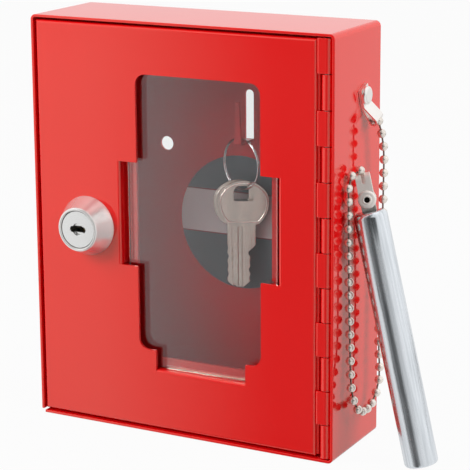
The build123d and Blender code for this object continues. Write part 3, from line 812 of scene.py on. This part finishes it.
        tree.links.new(soft.outputs[0], first.inputs[1])
        tree.links.new(mirror.outputs[0], first.inputs[2])
        last = tree.nodes.new("ShaderNodeMixShader")
        tree.links.new(self._seen(tree, ("Is Camera Ray", "Is Transmission Ray")), last.inputs[0])
        tree.links.new(first.outputs[0], last.inputs[1])
        tree.links.new(white.outputs[0], last.inputs[2])
        tree.links.new(last.outputs[0], out.inputs["Surface"])

    def _floor(self) -> None:
        """Lays the pale floor, which keeps a soft shadow and has a dark patch to gloss and metal."""
        bm = bmesh.new()
        bmesh.ops.create_grid(bm, x_segments=1, y_segments=1, size=self.floor_half)
        mesh = bpy.data.meshes.new("floor")
        bm.to_mesh(mesh)
        bm.free()
        floor = bpy.data.objects.new("floor", mesh)
        bpy.context.scene.collection.objects.link(floor)
        made = bpy.data.materials.new("pale_floor")
        made.use_nodes = True
        tree = made.node_tree
        tree.nodes.clear()
        out = tree.nodes.new("ShaderNodeOutputMaterial")
        matt = tree.nodes.new("ShaderNodeBsdfDiffuse")
        matt.inputs["Color"].default_value = (*(self.floor_shade,) * 3, 1.0)
        glow = tree.nodes.new("ShaderNodeEmission")
        glow.inputs["Color"].default_value = WHITE
        mirror = tree.nodes.new("ShaderNodeEmission")
        mirror.inputs["Strength"].default_value = MIRROR_STRENGTH
        patch = self._dark_patch(tree)
        tree.links.new(self._dimmed(tree, self._surroundings(tree), patch), mirror.inputs["Color"])
        surface = matt.outputs[0]
        for kinds, light, weight in (
            (("Is Camera Ray", "Is Transmission Ray"), glow, self.floor_glow),
            (("Is Glossy Ray",), mirror, self.floor_gloss),
        ):
            share = tree.nodes.new("ShaderNodeMath")
            share.operation = "MULTIPLY"
            share.inputs[1].default_value = weight
            tree.links.new(self._seen(tree, kinds), share.inputs[0])
            mix = tree.nodes.new("ShaderNodeMixShader")
            tree.links.new(share.outputs[0], mix.inputs[0])
            tree.links.new(surface, mix.inputs[1])
            tree.links.new(light.outputs[0], mix.inputs[2])
            surface = mix.outputs[0]
        tree.links.new(surface, out.inputs["Surface"])
        mesh.materials.append(made)

    @staticmethod
    def _softbox(name: str, place: Point, aim: Point, side: float, power: float, shows: bool) -> None:
        """Hangs one square softbox.

        Args:
            name: The lamp's name.
            place: Its centre, in millimetres.
            aim: The point that it faces, in millimetres.
            side: Its side, in metres.
            power: Its power, in watts.
            shows: Whether it is mirrored in shiny surfaces.
        """
        data = bpy.data.lights.new(name, "AREA")
        data.shape = "SQUARE"
        data.size = side
        data.energy = power
        lamp = bpy.data.objects.new(name, data)
        lamp.matrix_world = aimed(metres(place), metres(place) - metres(aim))
        lamp.visible_glossy = shows
        bpy.context.scene.collection.objects.link(lamp)


# ---------------------------------------------------------------- ball chain


@dataclass
class ChainAssembly:
    """The ball chain from the wall anchor round to the hammer's strap.

    Attributes:
        route: Control points of the chain's line, in millimetres.
        bead: Ball diameter, in millimetres.
        pitch: Distance from ball to ball, in millimetres.
        link: Thickness of the wire between balls, in millimetres.
        sunk: How much shorter a wire is than the way between two centres, as a share of a ball.
        dimple: How far out a ball's poles stay, as a share of its radius.
        ball_facets: Facets round a ball and from pole to pole.
        wire_facets: Facets round a wire.
        tube_length: The chain's length end to end, in millimetres; not used.
    """

    route: tuple[Point, ...] = (
        (64.6, 7.2, 117.0), (65.9, 9.3, 109.5), (65.8, 9.3, 97.0), (65.3, 9.7, 76.0), (64.5, 9.6, 52.0),
        (64.7, 9.1, 34.5), (65.3, 9.5, 24.5), (64.1, 7.6, 16.2), (64.7, -1.4, 14.9), (65.2, -9.8, 17.2),
        (63.9, -12.6, 24.6), (62.4, -10.2, 38.0), (62.1, -10.7, 58.0), (62.0, -11.4, 78.0),
        (62.1, -11.5, 91.2), (61.9, -12.0, 97.6), (62.0, -9.4, 101.6), (63.4, -5.2, 101.9),
    )
    bead: float = 3.2
    pitch: float = 4.66
    link: float = 0.6
    sunk: float = 0.8
    dimple: float = 0.82
    ball_facets: tuple[int, int] = (18, 12)
    wire_facets: int = 10
    tube_length: float = 207.5

    def build(self) -> None:
        """Makes the ball chain."""
        line = self._line()
        spots = self._spots(line)
        bm = bmesh.new()
        for i, (spot, along) in enumerate(spots):
            self._ball(bm, spot, along)
            if i:
                self._wire(bm, spots[i - 1][0], spot)
        chain = new_piece("ball_chain", bm, "case", CHAIN_NICKEL, ["bead_chain"])
        # The wires take this second material, their painted shade.
        chain.data.materials.append(CHAIN_WIRE_SHADE.material())

    def _line(self) -> list[Vector]:
        """Points along the chain's smooth line.

        Returns:
            The points, in metres, from the anchor to the strap.
        """
        data = bpy.data.curves.new("chain_line", "CURVE")
        data.dimensions = "3D"
        data.resolution_u = 24
        spline = data.splines.new("NURBS")
        spline.points.add(len(self.route) - 1)
        for knot, place in zip(spline.points, self.route):
            knot.co = (*metres(place), 1.0)
        spline.order_u = 3
        spline.use_endpoint_u = True
        holder = bpy.data.objects.new("chain_line", data)
        bpy.context.scene.collection.objects.link(holder)
        bpy.context.view_layer.update()
        mesh = bpy.data.meshes.new_from_object(holder)
        points = [v.co.copy() for v in mesh.vertices]
        bpy.data.objects.remove(holder)
        bpy.data.curves.remove(data)
        bpy.data.meshes.remove(mesh)
        return points

    def _spots(self, line: Sequence[Vector]) -> list[tuple[Vector, Vector]]:
        """Ball centres and directions, evenly spaced along the line.

        Args:
            line: The chain's line, in metres.

        Returns:
            One pair of centre and direction for each ball.
        """
        reach = [0.0]
        for a, b in zip(line, line[1:]):
            reach.append(reach[-1] + (b - a).length)
        count = round(reach[-1] / (self.pitch * MM))
        gap = reach[-1] / count
        spots, k = [], 0
        for i in range(count + 1):
            want = min(i * gap, reach[-1] - 1e-9)
            while reach[k + 1] < want:
                k += 1
            step = line[k + 1] - line[k]
            share = (want - reach[k]) / max(reach[k + 1] - reach[k], 1e-12)
            spots.append((line[k] + step * share, step.normalized()))
        return spots

    def _ball(self, bm: bmesh.types.BMesh, spot: Vector, along: Vector) -> None:
        """Adds one ball, dimpled where the wire enters.

        Args:
            bm: The chain's mesh.
            spot: The ball's centre.
            along: The chain's direction there.
        """
        radius = self.bead * MM / 2
        round_it, down_it = self.ball_facets
        made = bmesh.ops.create_uvsphere(bm, u_segments=round_it, v_segments=down_it, radius=radius)["verts"]
        poles = [v for v in made if abs(v.co.z) > POLE_SHARE * radius]
        bmesh.ops.scale(bm, vec=(1, 1, self.dimple), verts=poles)
        bmesh.ops.rotate(bm, cent=(0, 0, 0), matrix=along.to_track_quat("Z", "Y").to_matrix(), verts=made)
        bmesh.ops.translate(bm, vec=spot, verts=made)

    def _wire(self, bm: bmesh.types.BMesh, start: Vector, end: Vector) -> None:
        """Adds the wire between two balls.

        Args:
            bm: The chain's mesh.
            start: One ball's centre.
            end: The next ball's centre.
        """
        away = end - start
        radius = self.link * MM / 2
        made = bmesh.ops.create_cone(
            bm, cap_ends=True, segments=self.wire_facets, radius1=radius, radius2=radius,
            depth=away.length - self.bead * MM * self.sunk,
        )["verts"]
        # The wire's faces take the chain's second material, the painted shade between the balls.
        for face in {face for vert in made for face in vert.link_faces}:
            face.material_index = 1
        bmesh.ops.transform(bm, matrix=aimed((start + end) / 2, away), verts=made)


# ---------------------------------------------------------------- sheet metal


@dataclass
class CaseAssembly:
    """The folded case, its back with the hook and the label, and the strike.

    Attributes:
        painted: The CAD nodes that carry the red coat.
    """

    painted: tuple[str, ...] = ("case_wrap", "lock_strike", "hinge_case_leaf")

    def build(self) -> None:
        """Dresses the painted case pieces, the hinge pin and the label."""
        for node in self.painted:
            soften(node, RED_COAT, Edge.SHEET)
        soften("back_panel", RED_INSIDE, Edge.SHEET)
        soften("hinge_pin", PIN_STEEL, Edge.FINE)
        soften("inner_label", LABEL, Edge.FINE)


@dataclass
class DoorAssembly:
    """The framed door, its hinge leaf and the pane behind the window.

    Attributes:
        arris: Width of the pane's ground arris, in millimetres.
    """

    arris: float = 0.35

    def build(self) -> None:
        """Dresses the door and makes the pane."""
        for node in ("door_panel", "hinge_door_leaf"):
            soften(node, RED_COAT, Edge.SHEET)
        low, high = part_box("glass_pane")
        bm = bmesh.new()
        size = high - low
        place = Matrix.Translation((low + high) / 2) @ Matrix.Diagonal((*size, 1.0))
        bmesh.ops.create_cube(bm, size=1.0, matrix=place)
        bmesh.ops.bevel(
            bm, geom=bm.edges[:], offset=self.arris * MM, segments=1, profile=0.5, affect="EDGES", material=-1
        )
        pane = new_piece("window_pane", bm, "glass", GLASS, ["glass_pane"])
        pane.data.polygons.foreach_set("use_smooth", [False] * len(pane.data.polygons))


# ---------------------------------------------------------------- lock


@dataclass
class LockAssembly:
    """The cam lock: coned collar, barrel, plug, cam and fixings.

    Attributes:
        centre: Where the lock's axis meets the door's face, in millimetres.
        bore: Radius of the bore that the plug turns in, in millimetres.
        cone: The collar's outline from the bore's lip out and down to the door, as (radius, distance from the
            door).
        barrel: Barrel radius, in millimetres.
        flats: Distance from the axis to the barrel's flats, in millimetres.
        barrel_back: How far the barrel reaches behind the door's face, in millimetres.
        chamfer: Chamfer of its back edge, in millimetres.
    """

    centre: Point = (-37.6, -19.0, 74.5)
    bore: float = 6.93
    cone: tuple[tuple[float, float], ...] = (
        (6.93, 7.1), (6.97, 7.28), (7.06, 7.42), (7.18, 7.49), (7.35, 7.5), (7.6, 7.48), (7.84, 7.38),
        (8.0, 7.22), (8.1, 7.0), (8.2, 6.75), (9.4, 3.95), (10.6, 1.2), (10.86, 0.62), (10.96, 0.4),
        (11.0, 0.2), (10.96, 0.0),
    )
    barrel: float = 9.0
    flats: float = 8.1
    barrel_back: float = 18.0
    chamfer: float = 0.3

    def build(self) -> None:
        """Makes the collar and barrel, and dresses the rest."""
        outwards = Matrix.Translation(metres(self.centre)) @ Matrix.Rotation(math.pi / 2, 4, "X")
        bm = bmesh.new()
        turn(bm, ((self.bore, 0.0), *self.cone, (self.bore, 0.0)), TURNED_FACETS, outwards)
        self._barrel(bm, outwards)
        new_piece("lock_collar", bm, "door", LOCK_NICKEL, ["lock_housing"])
        soften("lock_plug", PLUG_NICKEL, Edge.FINE)
        for node in ("lock_washer", "lock_nut", "lock_cam", "cam_screw"):
            soften(node, ZINC, Edge.FINE)
        soften("lock_wafers", BRASS, Edge.FINE)

    def _barrel(self, bm: bmesh.types.BMesh, outwards: Matrix) -> None:
        """Adds the barrel with its two flats.

        Args:
            bm: The lock's mesh.
            outwards: The lock's own frame, Z out of the door.
        """
        part = bmesh.new()
        back = -self.barrel_back
        outline = (
            (self.bore, back), (self.barrel - self.chamfer, back), (self.barrel, back + self.chamfer),
            (self.barrel, 0.0), (self.bore, 0.0), (self.bore, back),
        )
        turn(part, outline, TURNED_FACETS, Matrix.Identity(4))
        for side in (1.0, -1.0):
            bmesh.ops.bisect_plane(
                part, geom=part.verts[:] + part.edges[:] + part.faces[:],
                plane_co=(0, side * self.flats * MM, 0), plane_no=(0, side, 0), clear_outer=True,
            )
            bmesh.ops.holes_fill(part, edges=[e for e in part.edges if e.is_boundary], sides=0)
        bmesh.ops.transform(part, matrix=outwards, verts=part.verts)
        mesh = bpy.data.meshes.new("barrel")
        part.to_mesh(mesh)
        part.free()
        bm.from_mesh(mesh)
        bpy.data.meshes.remove(mesh)


# ---------------------------------------------------------------- keys


@dataclass
class KeySet:
    """The split ring and its two keys.

    Attributes:
        centre: The ring's centre, in millimetres.
        middle: Radius of its wire's middle line, in millimetres.
        section: Width and thickness of the wire, in millimetres.
        turned: The ring's turn about the vertical, in degrees.
        turns: How many times the wire goes round.
        rise: How far the wire moves along the ring's axis in a turn, in millimetres.
        wire_facets: Facets round the wire.
        ring_facets: Facets along it.
        end_turn: Edges that turn by more than this are the wire's two ends, in radians.
        end_round: How far those are rounded, in millimetres.
        key_turn: The keys' turn about the vertical, in degrees.
        half_width: Half the width of the line raised on a key's bow, in millimetres.
        crown: The line's height above the bow's widest place, in millimetres.
        taper: Depth below it of the oval that its lower half follows, in millimetres.
        foot: How far below it the bow ends, in millimetres.
        rim_inset: How far the line runs inside the bow's edge, in millimetres.
        rim_heights: How far the line stands out on the front and on the back key, in millimetres.
        rim_facets: Facets along the line.
        rim_corners: Corners of its section.
    """

    centre: Point = (9.55, 11.3, 96.1)
    middle: float = 9.3
    section: tuple[float, float] = (0.66, 0.5)
    turned: float = -22.0
    turns: float = 1.9
    rise: float = 0.56
    wire_facets: int = 14
    ring_facets: int = 150
    end_turn: float = 1.2
    end_round: float = 0.09
    key_turn: float = 28.0
    half_width: float = 8.4
    crown: float = 6.9
    taper: float = 9.5
    foot: float = 8.4
    rim_inset: float = 0.9
    rim_heights: tuple[float, float] = (0.24, 0.16)
    rim_facets: int = 80
    rim_corners: int = 10

    def build(self) -> None:
        """Makes the ring and dresses the keys."""
        bm = bmesh.new()
        section = bmesh.ops.create_circle(
            bm, cap_ends=False, segments=self.wire_facets, radius=0.5 * MM
        )["verts"]
        bmesh.ops.scale(bm, vec=(*self.section, 1.0), verts=section)
        bmesh.ops.rotate(bm, cent=(0, 0, 0), matrix=Matrix.Rotation(math.pi / 2, 3, "X"), verts=section)
        bmesh.ops.translate(bm, vec=(self.middle * MM, 0, -0.5 * self.rise * MM * self.turns), verts=section)
        edges = bm.edges[:]
        bmesh.ops.spin(
            bm, geom=section + edges, axis=(0, 0, 1), cent=(0, 0, 0), angle=FULL_TURN * self.turns,
            steps=self.ring_facets, dvec=(0, 0, self.rise * MM * self.turns / self.ring_facets),
            use_duplicate=False,
        )
        bmesh.ops.holes_fill(bm, edges=[e for e in bm.edges if len(e.link_faces) == 1], sides=0)
        ends = [e for e in bm.edges if len(e.link_faces) == 2 and e.calc_face_angle() > self.end_turn]
        bmesh.ops.bevel(
            bm, geom=ends, offset=self.end_round * MM, segments=2, profile=0.5, affect="EDGES", material=-1
        )
        place = (
            Matrix.Translation(metres(self.centre))
            @ Matrix.Rotation(math.radians(self.turned), 4, "Z")
            @ Matrix.Rotation(math.pi / 2, 4, "X")
        )
        bmesh.ops.transform(bm, matrix=place, verts=bm.verts)
        new_piece("split_ring", bm, "ring", CHROME_WIRE, ["key_ring"])
        for node in ("key_front", "key_back"):
            soften(node, KEY_METAL, Edge.PLATE)
        front, back = self.rim_heights
        self._bow_rim("front_bow_rim", "key_front", "front_key", front)
        self._bow_rim("back_bow_rim", "key_back", "back_key", back)

    def _bow_rim(self, name: str, node: str, body: str, height: float) -> None:
        """Raises a line round a key's bow, a little inside its edge, in a pale finish that is a painted
        highlight.

        Args:
            name: The piece's name.
            node: The CAD node of the key.
            body: The body that carries it.
            height: How far the line stands out, in millimetres.
        """
        turned = math.radians(self.key_turn)
        across = Vector((math.cos(turned), math.sin(turned), 0.0))
        facing = Vector((math.sin(turned), -math.cos(turned), 0.0))
        blank = [v.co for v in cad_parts[node].data.vertices]
        sides = [point.dot(across) for point in blank]
        middle = across * ((min(sides) + max(sides)) / 2) + facing * max(point.dot(facing) for point in blank)
        middle.z = max(point.z for point in blank) - (self.crown + self.rim_inset) * MM
        start = math.acos((self.foot - self.rim_inset) / self.taper)
        line = []
        for step in range(self.rim_facets + 1):
            angle = start + (FULL_TURN - 2 * start) * step / self.rim_facets
            drop = self.taper if math.cos(angle) > 0 else self.crown
            aside = across * (self.half_width * math.sin(angle)) - UP * (drop * math.cos(angle))
            line.append(middle + aside * MM)
        bm = bmesh.new()
        rings = []
        for step, point in enumerate(line):
            along = (line[(step + 1) % len(line)] - line[step - 1]).normalized()
            out = along.cross(facing)
            rings.append([
                bm.verts.new(point + (out * math.cos(turn_by) + facing * math.sin(turn_by)) * height * MM)
                for turn_by in (FULL_TURN * corner / self.rim_corners for corner in range(self.rim_corners))
            ])
        for one, other in zip(rings, rings[1:] + rings[:1]):
            for corner in range(self.rim_corners):
                after = (corner + 1) % self.rim_corners
                bm.faces.new((one[corner], one[after], other[after], other[corner]))
        # The line takes the pale finish, a painted highlight.
        new_piece(name, bm, body, KEY_RIM_HIGHLIGHT, [])


# ---------------------------------------------------------------- hammer


@dataclass
class HammerAssembly:
    """The breaker rod on its strap, with the chain's fixings.

    Attributes:
        pivot: The strap's rivet, in millimetres.
        lean: The rod's lean about Y, X and Z, in degrees.
        rod_top: Top of the rod below the pivot, in millimetres.
        rod_length: The rod's length, in millimetres.
        rod_radius: Its radius, in millimetres.
        top_round: Round of its top edge, in millimetres.
        foot_round: Round of its foot edge, in millimetres.
        top_ring: Radius of a ring of points that keeps its top flat, in millimetres.
        end_ring: Distance of such a ring on its side from either end, in millimetres.
        foot_dimple: Outer radius, inner radius and depth of the dimple in its foot, in millimetres.
        rivet_head: The rivet's head from the bore out and down to the shank, as (radius, distance from its
            middle).
        rivet_facets: Facets round the rivet.
        eye_radius: Radius of the near-black cylinder of painted shade in the rivet's bore, in millimetres.
        eye_depth: How far down the bore it lies, in millimetres.
        eye_facets: Facets round it.
    """

    pivot: Point = (66.0, -5.1, 92.18)
    lean: Point = (-14.1, -1.8, 23.6)
    rod_top: float = 4.2
    rod_length: float = 89.5
    rod_radius: float = 5.9
    top_round: float = 2.0
    foot_round: float = 1.4
    top_ring: float = 2.3
    end_ring: float = 12.0
    foot_dimple: Point = (3.4, 3.0, 0.15)
    rivet_head: tuple[tuple[float, float], ...] = (
        (1.0, 3.1), (1.06, 3.17), (1.2, 3.2), (1.45, 3.17), (1.62, 3.07), (1.78, 3.0), (2.1, 3.02),
        (2.5, 2.97), (2.8, 2.86), (3.02, 2.69), (3.13, 2.5), (3.15, 2.3), (1.6, 2.3),
    )
    rivet_facets: int = 64
    eye_radius: float = 1.01
    eye_depth: float = 0.5
    eye_facets: int = 32

    def build(self) -> None:
        """Makes the rod and the rivets, and dresses the strap, the tang and the connector."""
        bm = bmesh.new()
        turn(bm, self._rod_profile(), TURNED_FACETS, self._own_frame())
        new_piece("breaker_rod", bm, "hammer", HAMMER_ALLOY, ["hammer_rod"])
        soften("hammer_tang", ZINC, Edge.FINE)
        soften("hammer_strap", SATIN_NICKEL, Edge.FINE)
        self._rivet()
        soften("chain_connector", NICKEL, Edge.FINE)
        soften("anchor_rivet", NICKEL, Edge.FINE)

    def _rivet(self) -> None:
        """Makes the tubular rivet with its rolled lips, and the near-black cylinder of painted shade that
        closes its bore.
        """
        across = self._own_frame() @ Matrix.Rotation(math.pi / 2, 4, "X")
        bm = bmesh.new()
        front = self.rivet_head
        back = [(radius, -height) for radius, height in reversed(front)]
        turn(bm, (*front, *back, front[0]), self.rivet_facets, across)
        new_piece("tubular_rivet", bm, "hammer", SATIN_NICKEL, ["hammer_rivet"])
        # The bore's painted shade: a near-black cylinder that fills it to half a millimetre below each lip.
        bm = bmesh.new()
        reach, radius = self.rivet_head[0][1] - self.eye_depth, self.eye_radius
        turn(bm, ((0.0, -reach), (radius, -reach), (radius, reach), (0.0, reach)), self.eye_facets, across)
        new_piece("rivet_bore_shade", bm, "hammer", BORE_SHADE, ["hammer_rivet"])

    def _own_frame(self) -> Matrix:
        """The hammer's own frame: Z up the rod, at the pivot."""
        about_y, about_x, about_z = (math.radians(a) for a in self.lean)
        return (
            Matrix.Translation(metres(self.pivot))
            @ Matrix.Rotation(about_y, 4, "Y")
            @ Matrix.Rotation(about_x, 4, "X")
            @ Matrix.Rotation(about_z, 4, "Z")
        )

    def _rod_profile(self) -> list[tuple[float, float]]:
        """The rod's half outline, from the middle of its top to the middle of its foot."""
        top, foot, radius = -self.rod_top, -self.rod_top - self.rod_length, self.rod_radius
        side = (radius, (top + foot) / 2)
        outer, inner, depth = self.foot_dimple
        return [
            (0.0, top), (self.top_ring, top),
            *rounded(self.top_round, (0.0, top), (radius, top), side),
            (radius, top - self.end_ring), side, (radius, foot + self.end_ring),
            *rounded(self.foot_round, side, (radius, foot), (0.0, foot)),
            (outer, foot), (inner, foot + depth), (0.0, foot + depth),
        ]


def main() -> None:
    """Builds the studio and every sub-assembly."""
    logging.basicConfig(level=logging.INFO, format="%(name)s %(message)s")
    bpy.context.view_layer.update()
    for assembly in (Studio(), ChainAssembly(), CaseAssembly(), DoorAssembly(), LockAssembly(), KeySet(),
                     HammerAssembly()):
        log.info("%s", type(assembly).__name__)
        assembly.build()


if __name__ == "__main__":
    main()
